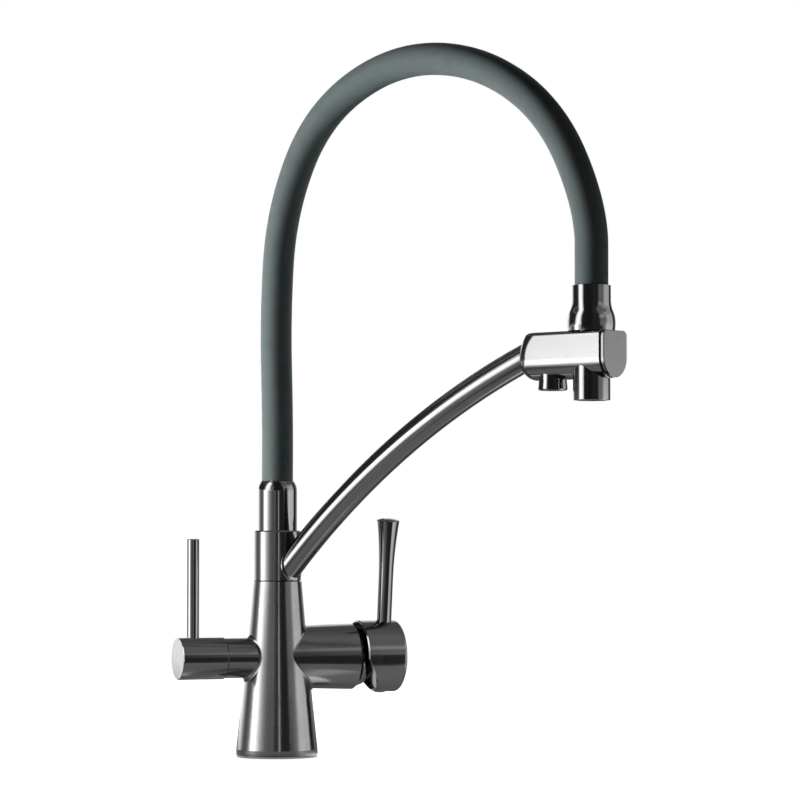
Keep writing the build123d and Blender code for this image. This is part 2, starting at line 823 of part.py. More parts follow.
def make_disc_carrier():
    carrier = rod_x(moving_disc_radius, carrier_start, carrier_end)
    width = 2 * (tail_ball_radius + tail_clearance)
    depth = carrier_end - (tilt_pivot - tail_length - tail_ball_radius - tail_clearance)
    return carrier - Pos(carrier_end - depth / 2, 0, 0) * Box(depth, width, width)


def make_rotor():
    flange_end = shell_shoulder - shell_end_wall - running_gap
    rotor = rod_x(rotor_radius, rotor_start, rotor_end)
    rotor += rod_x(rotor_flange_radius, flange_end - rotor_flange_thickness, flange_end)
    height = rotor_window_low + rotor_window_high
    length = rotor_end - rotor_start
    middle = (rotor_window_high - rotor_window_low) / 2
    rotor -= Pos(rotor_start + length / 2, 0, middle) * Box(length, stem_bore, height)
    return rotor - pin_y(pivot_pin_radius, 2 * rotor_radius)


def pin_y(radius, length):
    """A round pin across the tilt pivot."""
    return Pos(tilt_pivot, 0, 0) * Rot(90, 0, 0) * Cylinder(radius, length)


def make_pivot_pin():
    return pin_y(pivot_pin_radius, pivot_pin_length)


def make_stem():
    length = stem_tip - tilt_pivot + stem_heel
    bar = Pos(tilt_pivot - stem_heel + length / 2, 0, 0) * Box(length, stem_width, stem_width)
    bar -= pin_y(pivot_pin_radius + slide_fit, 2 * stem_width)
    tail = rod_x(tail_radius, tilt_pivot - tail_length, tilt_pivot - stem_heel)
    return bar + tail + Pos(tilt_pivot - tail_length, 0, 0) * Sphere(tail_ball_radius)


# Mixer cap and lever, about the X axis


def make_cap():
    corner = cap_end - cap_crown - cap_corner
    cap = turned_x(
        *flat((cap_end, 0), (cap_rim, 0), (cap_rim, cap_radius), (corner, cap_radius)),
        TangentArc((corner, 0, cap_radius), (corner + cap_corner, 0, cap_radius - cap_corner), tangent=(1, 0, 0)),
        TangentArc((cap_end, 0, 0), (corner + cap_corner, 0, cap_radius - cap_corner), tangent=(0, 0, 1)),
    )
    cap -= rod_x(cap_radius - cap_wall, cap_rim, cap_cavity_floor)
    drop = cap_radius + cut_past
    front = cap_rim - cut_past
    slope = tan(radians(cap_slant))
    wedge = Face(Wire(flat(
        (front, cap_slant_start), (cap_rim, cap_slant_start),
        (cap_rim + slope * (drop + cap_slant_start), -drop), (front, -drop), (front, cap_slant_start),
    )))
    cap -= extrude(wedge, 2 * cap_radius, dir=(0, 1, 0), both=True)
    rim = [edge for edge in cap.edges()
           if edge.center().X < cap_cavity_floor - cut_past and edge.geom_type != GeomType.LINE]
    cap = chamfer(rim, cap_rim_break)
    socket = stem_tip + running_gap - cap_cavity_floor
    cap -= Pos(cap_cavity_floor + socket / 2, 0, 0) * Box(socket, stem_bore, stem_bore)
    cap -= rod_z(mixer_lever_radius + slide_fit, mixer_lever_root, cap_radius, mixer_lever_place)
    cap -= rod_z(cap_screw_radius + slide_fit, -cap_radius, 0, cap_screw_place)
    return cap - rod_z(plug_radius + slide_fit, -cap_radius, plug_sink - cap_radius, cap_screw_place)


def make_mixer_lever():
    top = mixer_lever_height
    flare = TangentArc((mixer_lever_radius, 0, mixer_lever_straight),
                       (mixer_lever_top_radius, 0, top - mixer_lever_crown - edge_break), tangent=(0, 0, 1))
    lever = turned_z(
        *flat((0, top), (0, mixer_lever_root), (mixer_lever_radius, mixer_lever_root),
              (mixer_lever_radius, mixer_lever_straight)),
        flare,
        *flat((mixer_lever_top_radius, top - mixer_lever_crown - edge_break),
              (mixer_lever_top_radius - edge_break, top - mixer_lever_crown)),
        TangentArc((0, 0, top), (mixer_lever_top_radius - edge_break, 0, top - mixer_lever_crown),
                   tangent=(1, 0, 0)),
    )
    return Pos(mixer_lever_place, 0, 0) * lever


def make_cap_screw():
    tip = stem_width / 2
    length = cap_radius - plug_sink - running_gap - tip
    screw = socket_screw(cap_screw_radius, length, 1.5)
    return Pos(cap_screw_place, 0, -tip) * Rot(180, 0, 0) * screw


def make_cap_plug():
    low = -cap_radius - plug_stand
    plug = rod_z(plug_radius, low, plug_sink - cap_radius, cap_screw_place)
    return chamfer(plug.edges().group_by(Axis.Z)[0], plug_stand / 2)


# Filter valve, modelled outwards along X


def make_headpart():
    flange_end = neck_end + headpart_flange_thickness
    chamber = filter_disc_radius + running_gap
    step = spindle_start() + spindle_flange_thickness + running_gap
    bore = spindle_radius + slide_fit
    start = filter_pocket_floor + seat_seal_thickness / 2
    piece = turned_x(*flat(
        (start, chamber), (start, headpart_nose_radius), (headpart_nose_end, headpart_nose_radius),
        (headpart_nose_end, filter_pocket_radius - slide_fit), (neck_end, filter_pocket_radius - slide_fit),
        (neck_end, headpart_flange_radius), (flange_end, headpart_flange_radius),
        (flange_end, headpart_neck_radius), (headpart_neck_end, headpart_neck_radius),
        (headpart_neck_end, bore), (step, bore), (step, chamber), (start, chamber),
    ))
    window = spindle_start() - filter_disc_thickness / 2
    piece -= Pos(window, 0, 0) * Box(filter_disc_thickness, 2 * filter_disc_port_radius, 2 * neck_radius)
    groove = neck_end - seal_section
    half = groove_ratio * seal_section
    return piece - ring_x(neck_radius, filter_pocket_radius - 2 * slide_fit - seal_section, groove - half, groove + half)


def spindle_start():
    """Inner face of the spindle's flange, behind the two discs."""
    return filter_pocket_floor + seat_seal_thickness + 2 * filter_disc_thickness + slide_fit


def make_headpart_seal():
    return seal_ring_x(filter_pocket_radius - slide_fit, seal_section, neck_end - seal_section)


def make_seat_seal():
    return ring_x(seat_seal_radius, seat_seal_bore, filter_pocket_floor, filter_pocket_floor + seat_seal_thickness)


def filter_disc(start, radius):
    disc = rod_x(radius, start, start + filter_disc_thickness)
    for side in (-1, 1):
        disc -= rod_x(filter_disc_port_radius, start, start + filter_disc_thickness,
                      0, side * filter_disc_port_offset)
    return disc


def make_spindle():
    start = spindle_start()
    spindle = rod_x(spindle_flange_radius, start, start + spindle_flange_thickness)
    spindle += rod_x(spindle_radius, start, spindle_end)
    groove = headpart_neck_end - 2 * seal_section
    half = groove_ratio * seal_section
    floor = spindle_radius - spindle_seal_section - slide_fit
    return spindle - ring_x(spindle_radius + cut_past, floor, groove - half, groove + half)


def make_spindle_seal():
    return seal_ring_x(spindle_radius, spindle_seal_section, headpart_neck_end - 2 * seal_section)


def make_drum():
    start = neck_end + running_gap
    drum = rod_x(drum_radius, start, drum_end)
    drum = chamfer(drum.edges().filter_by(GeomType.CIRCLE), edge_break)
    drum -= rod_x(drum_cavity_radius, start, drum_hub_start)
    drum -= rod_x(spindle_radius + slide_fit, drum_hub_start, spindle_end + running_gap)
    drum -= rod_z(filter_lever_radius + slide_fit, filter_lever_root, drum_radius, filter_lever_place)
    return drum - rod_z(drum_screw_radius + slide_fit, -drum_radius, 0, drum_screw_place)


def make_filter_lever():
    lever = rod_z(filter_lever_radius, filter_lever_root, filter_lever_height, filter_lever_place)
    return chamfer(lever.edges().group_by(Axis.Z)[-1], edge_break)


def make_drum_screw():
    length = drum_radius - spindle_radius - 2 * edge_break
    screw = socket_screw(drum_screw_radius, length, 1.2)
    return Pos(drum_screw_place, 0, -spindle_radius) * Rot(180, 0, 0) * screw


def swung(piece):
    """Turns a piece of the spout to where the spout stands at rest."""
    return Rot(0, 0, spout_rest_angle) * piece


def at_nozzle(piece):
    return swung(Pos(spout_reach, 0, 0) * piece)


def at_filtered(piece):
    return swung(Pos(filtered_reach, 0, 0) * piece)


nodes = {
    "body_casting": [make_body_casting()],
    "base_gasket": [make_base_gasket()],
    "swivel_spigot": [make_swivel_spigot()],
    "swivel_seals": make_swivel_seals(),
    "swivel_bushes": make_swivel_bushes(),
    "swivel_slide_ring": [make_slide_ring()],
    "cartridge_base": [at_valve(make_cartridge_base())],
    "cartridge_port_seals": [at_valve(seal) for seal in make_port_seals()],
    "cartridge_fixed_disc": [at_valve(make_fixed_disc())],
    "cartridge_shell": [at_valve(make_cartridge_shell())],
    "cartridge_nut": [at_valve(make_nut())],
    "mixer_dome_ring": [at_valve(make_dome_ring())],
    "filter_headpart": [at_filter_valve(make_headpart())],
    "filter_headpart_seal": [at_filter_valve(make_headpart_seal())],
    "filter_seat_seal": [at_filter_valve(make_seat_seal())],
    "filter_fixed_disc": [at_filter_valve(filter_disc(filter_pocket_floor + seat_seal_thickness,
                                                      filter_disc_radius))],
    "cartridge_moving_disc": [at_mixer(make_moving_disc())],
    "cartridge_disc_carrier": [at_mixer(make_disc_carrier())],
    "cartridge_rotor": [at_mixer(make_rotor())],
    "cartridge_pivot_pin": [at_mixer(make_pivot_pin())],
    "mixer_stem": [at_mixer(make_stem())],
    "mixer_cap": [at_mixer(make_cap())],
    "mixer_lever": [at_mixer(make_mixer_lever())],
    "mixer_cap_screw": [at_mixer(make_cap_screw())],
    "mixer_cap_plug": [at_mixer(make_cap_plug())],
    "filter_moving_disc": [at_filter_valve(filter_disc(spindle_start() - filter_disc_thickness,
                                                       filter_disc_radius))],
    "filter_spindle": [at_filter_valve(make_spindle())],
    "filter_spindle_seal": [at_filter_valve(make_spindle_seal())],
    "filter_drum": [at_filter_valve(make_drum())],
    "filter_lever": [at_filter_valve(make_filter_lever())],
    "filter_drum_screw": [at_filter_valve(make_drum_screw())],
    "swivel_collar": [swung(make_collar())],
    "collar_set_screw": [swung(make_collar_screw())],
    "spout_arm": [swung(make_arm())],
    "lower_ferrule": [swung(make_lower_ferrule())],
    "lower_hose_fitting": [swung(make_fitting(collar_top, 1))],
    "hose_crimps": [swung(make_crimp(inner_hose_start)), swung(make_crimp(inner_hose_finish, spout_reach))],
    "silicone_hose": [swung(hose_tube(hose_radius, hose_bore, hose_start, hose_finish))],
    "inner_hose": [swung(hose_tube(inner_hose_radius, inner_hose_bore, inner_hose_start, inner_hose_finish))],
    "upper_hose_fitting": [swung(make_fitting(head_top, 1, spout_reach))],
    "upper_ferrule": [at_nozzle(make_bell())],
    "outlet_head": [swung(make_head())],
    "head_end_plate": [swung(make_end_plate())],
    "main_nozzle": [at_nozzle(make_nozzle())],
    "aerator_body": [at_nozzle(make_aerator_body())],
    "aerator_screens": [at_nozzle(screen) for screen in make_aerator_screens()],
    "aerator_jet_disc": [at_nozzle(make_jet_disc())],
    "aerator_washer": [at_nozzle(make_aerator_washer())],
    "filtered_outlet": [at_filtered(make_filtered_outlet())],
    "filtered_outlet_insert": [at_filtered(make_filtered_insert())],
    "filtered_outlet_washer": [at_filtered(make_filtered_washer())],
}

os.makedirs("parts", exist_ok=True)
for name, pieces in nodes.items():
    solids = [solid for piece in pieces for solid in piece.solids()]
    shape = solids[0] if len(solids) == 1 else Compound(children=solids)
    export_step(shape, f"parts/{name}.step")

route = hose_line(hose_start, hose_finish)
tube = nodes["silicone_hose"][0]
print("hose length", round(route.length, 1), "mm")
print("hose volume over section times length",
      round(tube.volume / (pi * (hose_radius ** 2 - hose_bore ** 2) * route.length), 4))
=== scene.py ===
from math import cos, pi, radians, sin

import bmesh
import bpy
from mathutils import Matrix, Vector


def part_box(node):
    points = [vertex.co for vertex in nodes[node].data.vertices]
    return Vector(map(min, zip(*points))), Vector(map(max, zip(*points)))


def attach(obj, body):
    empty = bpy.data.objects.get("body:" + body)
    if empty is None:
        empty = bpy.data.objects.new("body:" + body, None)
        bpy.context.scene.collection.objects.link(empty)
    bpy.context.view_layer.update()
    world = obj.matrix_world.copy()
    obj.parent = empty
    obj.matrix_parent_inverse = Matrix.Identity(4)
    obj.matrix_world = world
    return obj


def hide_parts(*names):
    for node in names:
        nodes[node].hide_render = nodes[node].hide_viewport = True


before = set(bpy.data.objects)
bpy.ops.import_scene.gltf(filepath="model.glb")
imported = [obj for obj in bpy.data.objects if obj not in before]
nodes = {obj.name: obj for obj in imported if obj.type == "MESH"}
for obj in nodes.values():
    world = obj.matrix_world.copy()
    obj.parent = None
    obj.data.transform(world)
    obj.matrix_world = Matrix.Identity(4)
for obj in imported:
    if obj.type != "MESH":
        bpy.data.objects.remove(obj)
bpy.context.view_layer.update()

scene = bpy.context.scene

# Camera, about two metres off and a hand's breadth above the worktop, looking slightly up.
# From there the tap is turned 21.5 degrees about its upright axis, so that both levers show.
tap_turn = radians(21.5)
eye_distance = 1.942
eye_aside = 0.0756
eye_height = 0.136
eye_pitch = radians(2.45)


def studio_point(aside, away, height):
    """A point given as the camera sees it, in the tap's own frame."""
    return Matrix.Rotation(-tap_turn, 3, "Z") @ Vector((aside, away, height))


camera_data = bpy.data.cameras.new("photo_camera")
camera_data.sensor_width = 36
camera_data.lens = 141.75
camera = bpy.data.objects.new("photo_camera", camera_data)
camera.location = studio_point(eye_aside, -eye_distance, eye_height)
camera.rotation_euler = (pi / 2 + eye_pitch, 0, -tap_turn)
scene.collection.objects.link(camera)
scene.camera = camera
scene.view_settings.view_transform = "Standard"


# Air of the studio, white to the eye and in reflections, and nearly dark as a light on the tap.
# The same test of a ray tells the floor when it is looked at.
air_light = 0.02


def add(tree, kind, sockets, **settings):
    """Adds a node, sets it up and feeds its sockets with plain values or with outputs of other nodes."""
    made = tree.nodes.new(kind)
    for setting, value in settings.items():
        setattr(made, setting, value)
    for socket, value in sockets.items():
        if isinstance(value, bpy.types.NodeSocket):
            tree.links.new(value, made.inputs[socket])
        else:
            made.inputs[socket].default_value = value
    return made


def sum_up(tree, operation, first, second=0.0):
    """One step of arithmetic."""
    return add(tree, "ShaderNodeMath", {0: first, 1: second}, operation=operation).outputs[0]


def seen_or_mirrored(tree):
    """One where a surface is looked at, straight or in a reflection, and nought where it gives light."""
    path = add(tree, "ShaderNodeLightPath", {}).outputs
    seen = sum_up(tree, "MAXIMUM", path["Is Camera Ray"], path["Is Glossy Ray"])
    return sum_up(tree, "MAXIMUM", seen, path["Is Transmission Ray"])


world = bpy.data.worlds.new("studio_air")
world.use_nodes = True
tree = world.node_tree
tree.nodes.clear()
brightness = add(tree, "ShaderNodeMapRange",
                 {"Value": seen_or_mirrored(tree), "To Min": air_light, "To Max": 1.0}).outputs[0]
air = add(tree, "ShaderNodeBackground", {"Color": (1, 1, 1, 1), "Strength": brightness})
add(tree, "ShaderNodeOutputWorld", {"Surface": air.outputs[0]})
scene.world = world


# Floor, a pale worktop that runs out to the horizon and keeps the soft shadow of the tap.
# It is a matt sheet, lifted towards white where it is looked at, a little more with every step from the tap.
floor_reach = 30
floor_tint = (0.6, 0.6, 0.6, 1)
floor_white_near = 0.89
floor_white_far = 0.99
near_edge = 0.1
far_edge = 0.9


def empty_paint(name):
    """A new material with nothing in it, and its node tree."""
    paint = bpy.data.materials.new(name)
    paint.use_nodes = True
    paint.node_tree.nodes.clear()
    return paint, paint.node_tree


bpy.ops.mesh.primitive_plane_add(size=2 * floor_reach)
floor = bpy.context.object
floor.name = "studio_floor"
paint, tree = empty_paint("pale_worktop")
matt = add(tree, "ShaderNodeBsdfDiffuse", {"Color": floor_tint})
place = add(tree, "ShaderNodeTexCoord", {}).outputs["Object"]
away = add(tree, "ShaderNodeVectorMath", {0: place}, operation="LENGTH").outputs["Value"]
white = add(tree, "ShaderNodeMapRange",
            {"Value": away, "From Min": near_edge, "From Max": far_edge,
             "To Min": floor_white_near, "To Max": floor_white_far}).outputs[0]
lift = sum_up(tree, "MULTIPLY", seen_or_mirrored(tree), white)
glow = add(tree, "ShaderNodeEmission", {"Strength": lift})
both = add(tree, "ShaderNodeAddShader", {0: matt.outputs[0], 1: glow.outputs[0]})
add(tree, "ShaderNodeOutputMaterial", {"Surface": both.outputs[0]})
floor.data.materials.append(paint)


# Panels of the studio, curved soft boxes and dark cards that stand, lie and hang round the tap, out of the
# picture, and show in its reflections only. Angles are degrees round the tap from the camera's side, to the
# right. The soft boxes on the left and the card by the head stand nearer than the rest.
wall_distance = 1.5
near_distance = 0.92
head_card_distance = 0.46
worktop = 0.001
ceiling = 1.35
tone_top = 8.0
panel_steps = 24


def panel(name, start, end, tones):
    """A panel swept round the tap, from start to end given as distance and height. Its glow follows tones,
    pairs of an angle and a strength."""
    left, right = tones[0][0], tones[-1][0]
    shape = bmesh.new()
    turn = Matrix.Rotation(radians(left), 3, "Z")
    rim = [shape.verts.new(turn @ studio_point(0, -distance, height)) for distance, height in (start, end)]
    edge = shape.edges.new(rim)
    bmesh.ops.spin(shape, geom=[edge, *rim], axis=(0, 0, 1), cent=(0, 0, 0),
                   angle=radians(right - left), steps=panel_steps, use_duplicate=False)
    mesh = bpy.data.meshes.new(name)
    shape.to_mesh(mesh)
    shape.free()
    made = bpy.data.objects.new(name, mesh)
    scene.collection.objects.link(made)
    made.visible_camera = False
    made.visible_diffuse = False
    made.visible_shadow = False
    paint, tree = empty_paint(name)
    place = add(tree, "ShaderNodeTexCoord", {}).outputs["Object"]
    middle = radians(left + right) / 2
    turned = add(tree, "ShaderNodeMapping",
                 {"Vector": place, "Rotation": (0, 0, tap_turn + pi / 2 - middle)})
    parts = add(tree, "ShaderNodeSeparateXYZ", {"Vector": turned.outputs[0]}).outputs
    angle = sum_up(tree, "ARCTAN2", parts["Y"], parts["X"])
    span = radians(right - left)
    share = add(tree, "ShaderNodeMapRange", {"Value": angle, "From Min": -span / 2, "From Max": span / 2})
    ramp = add(tree, "ShaderNodeValToRGB", {"Fac": share.outputs[0]})
    stops = ramp.color_ramp.elements
    for at, strength in tones:
        position = (at - left) / (right - left)
        if position == 0:
            stop = stops[0]
        elif position == 1:
            stop = stops[len(stops) - 1]
        else:
            stop = stops.new(position)
        shade = strength / tone_top
        stop.color = (shade, shade, shade, 1)
    shine = add(tree, "ShaderNodeEmission", {"Color": ramp.outputs["Color"], "Strength": tone_top})
    add(tree, "ShaderNodeOutputMaterial", {"Surface": shine.outputs[0]})
    mesh.materials.append(paint)


def wall(name, low, high, tones, distance=wall_distance):
    """An upright panel from one height to another."""
    panel(name, (distance, low), (distance, high), tones)


def table(name, inner, outer, tones, height=worktop):
    """A level panel from one distance to another."""
    panel(name, (inner, height), (outer, height), tones)


wall("left_soft_box", worktop, 0.24, [
    (-110, 0.3), (-98, 0.35), (-90, 0.7), (-85, 1.6), (-80, 4.5), (-75, 7.5), (-72, 7.5), (-66, 6.3),
    (-60, 4.4), (-55, 3), (-50, 2), (-45, 1.3), (-40, 0.85), (-35, 0.6), (-30, 0.42)], near_distance)
wall("left_soft_box_top", 0.24, 0.299, [
    (-79, 0.1), (-74, 3.4), (-67, 4.5), (-64, 5.2), (-56, 5.8), (-48, 4.2), (-40, 2.4), (-33, 1.2),
    (-30, 0.5)], near_distance)
wall("left_soft_box_rim", 0.299, 0.33, [
    (-78, 0.1), (-73, 3.1), (-60, 3.2), (-55, 3), (-48, 2), (-40, 1), (-30, 0.4)], near_distance)
wall("left_tall_soft_box", 0.33, ceiling, [
    (-80, 0.1), (-74, 1.8), (-68, 4.2), (-61, 5), (-52, 5.2), (-46, 3.6), (-41, 2), (-36, 0.6),
    (-31, 0.12)], near_distance)
wall("back_left_soft_box", worktop, 0.25, [
    (-180, 1.2), (-165, 2.3), (-150, 2.6), (-137, 2.2), (-128, 1.9), (-120, 1), (-110, 0.3)], near_distance)
wall("back_left_high_box", 0.25, 0.5, [
    (-180, 1.4), (-150, 1.8), (-142, 1), (-136, 0.1)], near_distance)
wall("left_high_card", 0.28, 1.1, [
    (-180, 0.15), (-135, 0.1), (-110, 0.06), (-60, 0.12), (-40, 0.3), (-30, 0.4)])
wall("front_left_card", worktop, 0.25, [
    (-30, 0.33), (-24, 0.34), (-18, 0.27), (-11, 0.38), (-8, 0.3), (-5, 0.1), (4, 0.08)])
wall("front_left_high_card", 0.25, 1.1, [
    (-30, 0.62), (-20, 0.5), (-11, 0.52), (-8, 0.4), (-5, 0.2), (4, 0.14)])
wall("front_card", worktop, 1.1, [
    (4, 0.08), (7, 0.2), (9.5, 2), (12, 0.25), (15, 0.1), (20, 0.06), (38, 0.06)])
wall("card_by_the_head", 0.2, 1.2, [
    (-21, 0.1), (-16, 0.04), (16, 0.03), (30, 0.06)], head_card_distance)
wall("right_low_card", worktop, 0.19, [
    (38, 0.05), (48, 0.05), (52, 0.25), (58, 0.6), (62, 0.75)])
wall("right_card", 0.19, 0.36, [
    (38, 0.1), (42, 0.45), (46, 0.56), (57, 0.58), (62, 0.62)])
wall("right_high_card", 0.36, 0.62, [
    (38, 0.2), (42, 0.4), (50, 0.46), (62, 0.42)])
wall("right_strip_light", 0.62, 0.92, [
    (38, 0.6), (44, 0.9), (52, 1), (62, 1)])
wall("right_top_card", 0.92, 1.1, [
    (38, 0.4), (62, 0.5)])
wall("right_soft_box", worktop, 0.28, [
    (62, 0.7), (66, 1.2), (70, 1.9), (76, 2.15), (84, 2.1), (92, 1.9), (108, 1.8), (112, 1.2)])
wall("right_soft_box_top", 0.28, 0.8, [
    (62, 0.4), (66, 0.6), (70, 0.85), (74, 1.3), (78, 1.6), (86, 1.5), (95, 1.45), (104, 1.4), (112, 1)])
wall("back_right_card", worktop, 1.1, [
    (112, 1), (115, 0.08), (118, 0.02), (127, 0.02), (132, 0.15), (140, 0.4), (150, 0.45), (158, 0.6),
    (180, 1.2)])
table("worktop_far", 0.34, wall_distance, [
    (-180, 0.2), (-110, 0.2), (-85, 1.5), (-60, 1.4), (-45, 1.2), (-30, 0.6), (-15, 0.4), (0, 0.2),
    (12, 0.1), (30, 0.06), (56, 0.05), (62, 1), (66, 2), (85, 1.8), (100, 0.8), (110, 0.1), (130, 0.15),
    (180, 0.2)])
table("worktop_middle", 0.16, 0.34, [
    (-180, 0.2), (-60, 0.2), (-42, 0.25), (-30, 0.55), (-15, 0.4), (0, 0.2), (12, 0.1), (30, 0.06),
    (64, 0.05), (70, 0.8), (76, 1.8), (90, 1.7), (100, 0.8), (110, 0.1), (130, 0.15), (180, 0.2)])
table("worktop_near", 0.088, 0.16, [
    (-180, 0.15), (-75, 0.25), (-30, 0.45), (0, 0.45), (60, 0.42), (80, 0.5), (100, 0.45), (130, 0.25),
    (180, 0.12)])
table("worktop_round_foot", 0.045, 0.088, [
    (-180, 0.3), (-79, 0.3), (-75, 1.1), (-52, 1.1), (-46, 0.6), (-30, 0.45), (0, 0.4), (46, 0.42),
    (52, 0.7), (58, 1), (69, 0.9), (75, 0.5), (100, 0.45), (130, 0.25), (180, 0.2)])
table("worktop_by_foot", 0.026, 0.045, [
    (-180, 0.6), (-125, 0.5), (-95, 0.35), (-62, 0.35), (-30, 0.3), (0, 0.15), (38, 0.3), (62, 1),
    (68, 2), (95, 1.7), (110, 0.6), (118, 0.05), (180, 0.6)])
table("worktop_left_glow", 0.5, near_distance, [
    (-92, 1.5), (-84, 4.5), (-60, 5), (-50, 3), (-44, 1.1)], 2 * worktop)
table("ceiling_card", 0.02, 0.6, [
    (-180, 0.2), (-75, 0.15), (-70, 1.5), (-58, 1.5), (-52, 0.3), (-40, 0.08), (30, 0.08), (38, 0.3),
    (70, 0.4), (180, 0.2)], ceiling)
table("ceiling_rim", 0.6, 1.9, [
    (-180, 0.2), (-75, 0.15), (-70, 2), (-58, 2), (-52, 0.3), (-40, 0.08), (30, 0.08), (38, 0.4),
    (70, 0.45), (90, 0.3), (180, 0.2)], ceiling)


# Lamps, three soft lights that draw the matt hose round: the key low on the left, and two faint ones behind
# the tap, one on the right and one above. Metal mirrors the panels in their place.
lamp_aim = 0.26
lamp_width = 0.5
lamp_depth = 0.22
for name, angle, distance, height, power in (("low_left_lamp", -84, 1.0, 0.06, 27),
                                             ("back_right_lamp", 140, 1.0, 0.35, 7),
                                             ("high_back_lamp", 172, 0.8, 1.2, 7)):
    lamp_data = bpy.data.lights.new(name, "AREA")
    lamp_data.shape = "RECTANGLE"
    lamp_data.size = lamp_width
    lamp_data.size_y = lamp_depth
    lamp_data.energy = power
    lamp = bpy.data.objects.new(name, lamp_data)
    turn = radians(angle)
    lamp.location = studio_point(distance * sin(turn), -distance * cos(turn), height)
    lamp.rotation_euler = (Vector((0, 0, lamp_aim)) - lamp.location).to_track_quat("-Z", "Y").to_euler()
    lamp.visible_glossy = False
    scene.collection.objects.link(lamp)


# Body casting, lead-free brass, turned, blended at its two branches and finely brushed under a dark
# coating. The brush went round the cone, and round each valve housing, while the part turned.
valve_height = 0.0607
cone_foot_radius = 0.0250
cone_slope = 0.0965
blend_height = 0.0006
gunmetal = (0.205, 0.205, 0.207)
# A lighter grey, laid on corners as a painted edge highlight.
edge_highlight_tint = (0.42, 0.41, 0.40, 1)
fine_pitch = 0.00022
band_pitch = 0.0016
relief_depth = 0.00002


def group_of(name, takes, gives):
    """A new shader node group with named sockets. Returns it with its way in and its way out."""
    made = bpy.data.node_groups.new(name, "ShaderNodeTree")
    for socket, kind in takes.items():
        made.interface.new_socket(socket, in_out="INPUT", socket_type="NodeSocket" + kind)
    for socket, kind in gives.items():
        made.interface.new_socket(socket, in_out="OUTPUT", socket_type="NodeSocket" + kind)
    return made, made.nodes.new("NodeGroupInput").outputs, made.nodes.new("NodeGroupOutput").inputs


def use(tree, group, sockets):
    """Places a group in a material and feeds it."""
    return add(tree, "ShaderNodeGroup", sockets, node_tree=group).outputs


def arrow(tree, operation, first, second=(0, 0, 0)):
    """One step of vector arithmetic that gives a vector."""
    return add(tree, "ShaderNodeVectorMath", {0: first, 1: second}, operation=operation).outputs[0]


def span_of(tree, operation, first, second=(0, 0, 0)):
    """One step of vector arithmetic that gives a number."""
    return add(tree, "ShaderNodeVectorMath", {0: first, 1: second}, operation=operation).outputs["Value"]


def scaled(tree, vector, amount):
    """A vector made longer or shorter."""
    return add(tree, "ShaderNodeVectorMath", {0: vector, "Scale": amount}, operation="SCALE").outputs[0]


# Brush lines, fine scratches with broader bands among them, left by a belt or wheel on the turning part.
# Across is the distance counted across the lines, and Place lets each line change slowly along its way.
brush, given, out = group_of("brush_lines", {"Across": "Float", "Place": "Vector"},
                             {"Height": "Float", "Band": "Float"})
slow = scaled(brush, given["Place"], 22.0)
for pitch, name in ((fine_pitch, "Height"), (band_pitch, "Band")):
    step = sum_up(brush, "DIVIDE", given["Across"], pitch)
    across = add(brush, "ShaderNodeCombineXYZ", {"X": step}).outputs[0]
    noise = add(brush, "ShaderNodeTexNoise",
                {"Vector": arrow(brush, "ADD", slow, across), "Scale": 1.0, "Detail": 2.0, "Roughness": 0.6})
    brush.links.new(noise.outputs["Fac"], out[name])

# Handling, the faint smears that hands and water leave on a dark coating.
# Size is the width of a smear in metres.
handling, given, out = group_of("handling", {"Place": "Vector", "Size": "Float"}, {"Smear": "Float"})
per_metre = sum_up(handling, "DIVIDE", 1.0, given["Size"])
cloud = add(handling, "ShaderNodeTexNoise",
            {"Vector": given["Place"], "Scale": per_metre, "Detail": 3.0, "Roughness": 0.55,
             "Distortion": 0.4}).outputs["Fac"]
smear = add(handling, "ShaderNodeMapRange", {"Value": cloud, "From Min": 0.42, "From Max": 0.72},
            interpolation_type="SMOOTHSTEP")
handling.links.new(smear.outputs[0], out["Smear"])

# Painted edge highlight, a lighter tone laid over each corner and broken into small specks, standing in for
# the light that rounded edges catch.
# Radius is how far from the corner it reaches.
painted_edge_highlight, given, out = group_of("painted_edge_highlight", {"Place": "Vector", "Radius": "Float"}, {"Painted_Highlight": "Float"})
rounded = add(painted_edge_highlight, "ShaderNodeBevel", {"Radius": given["Radius"]}, samples=4).outputs[0]
true_normal = add(painted_edge_highlight, "ShaderNodeNewGeometry", {}).outputs["Normal"]
facing = span_of(painted_edge_highlight, "DOT_PRODUCT", rounded, true_normal)
corner = add(painted_edge_highlight, "ShaderNodeMapRange",
             {"Value": facing, "From Min": 0.995, "From Max": 0.86}).outputs[0]
# Noise that breaks the painted edge highlight into small specks.
highlight_speck_noise = add(painted_edge_highlight, "ShaderNodeTexNoise",
            {"Vector": given["Place"], "Scale": 900.0, "Detail": 2.0}).outputs["Fac"]
highlight_specks = add(painted_edge_highlight, "ShaderNodeMapRange",
             {"Value": highlight_speck_noise, "From Min": 0.3, "From Max": 0.6}).outputs[0]
painted_edge_highlight.links.new(sum_up(painted_edge_highlight, "MULTIPLY", corner, highlight_specks), out["Painted_Highlight"])


def round_axis(tree, axis_of):
    """The place on a piece, the direction of its axis there, the way outwards from the axis, and the
    distance across brush lines that run round it. axis_of gives, for a tree and a place, the place counted
    from the axis and the direction of the axis."""
    place = add(tree, "ShaderNodeTexCoord", {}).outputs["Object"]
    from_axis, axis = axis_of(tree, place)
    along = span_of(tree, "DOT_PRODUCT", from_axis, axis)
    outward = arrow(tree, "SUBTRACT", from_axis, scaled(tree, axis, along))
    across = sum_up(tree, "ADD", along, span_of(tree, "LENGTH", outward))
    return place, axis, outward, across


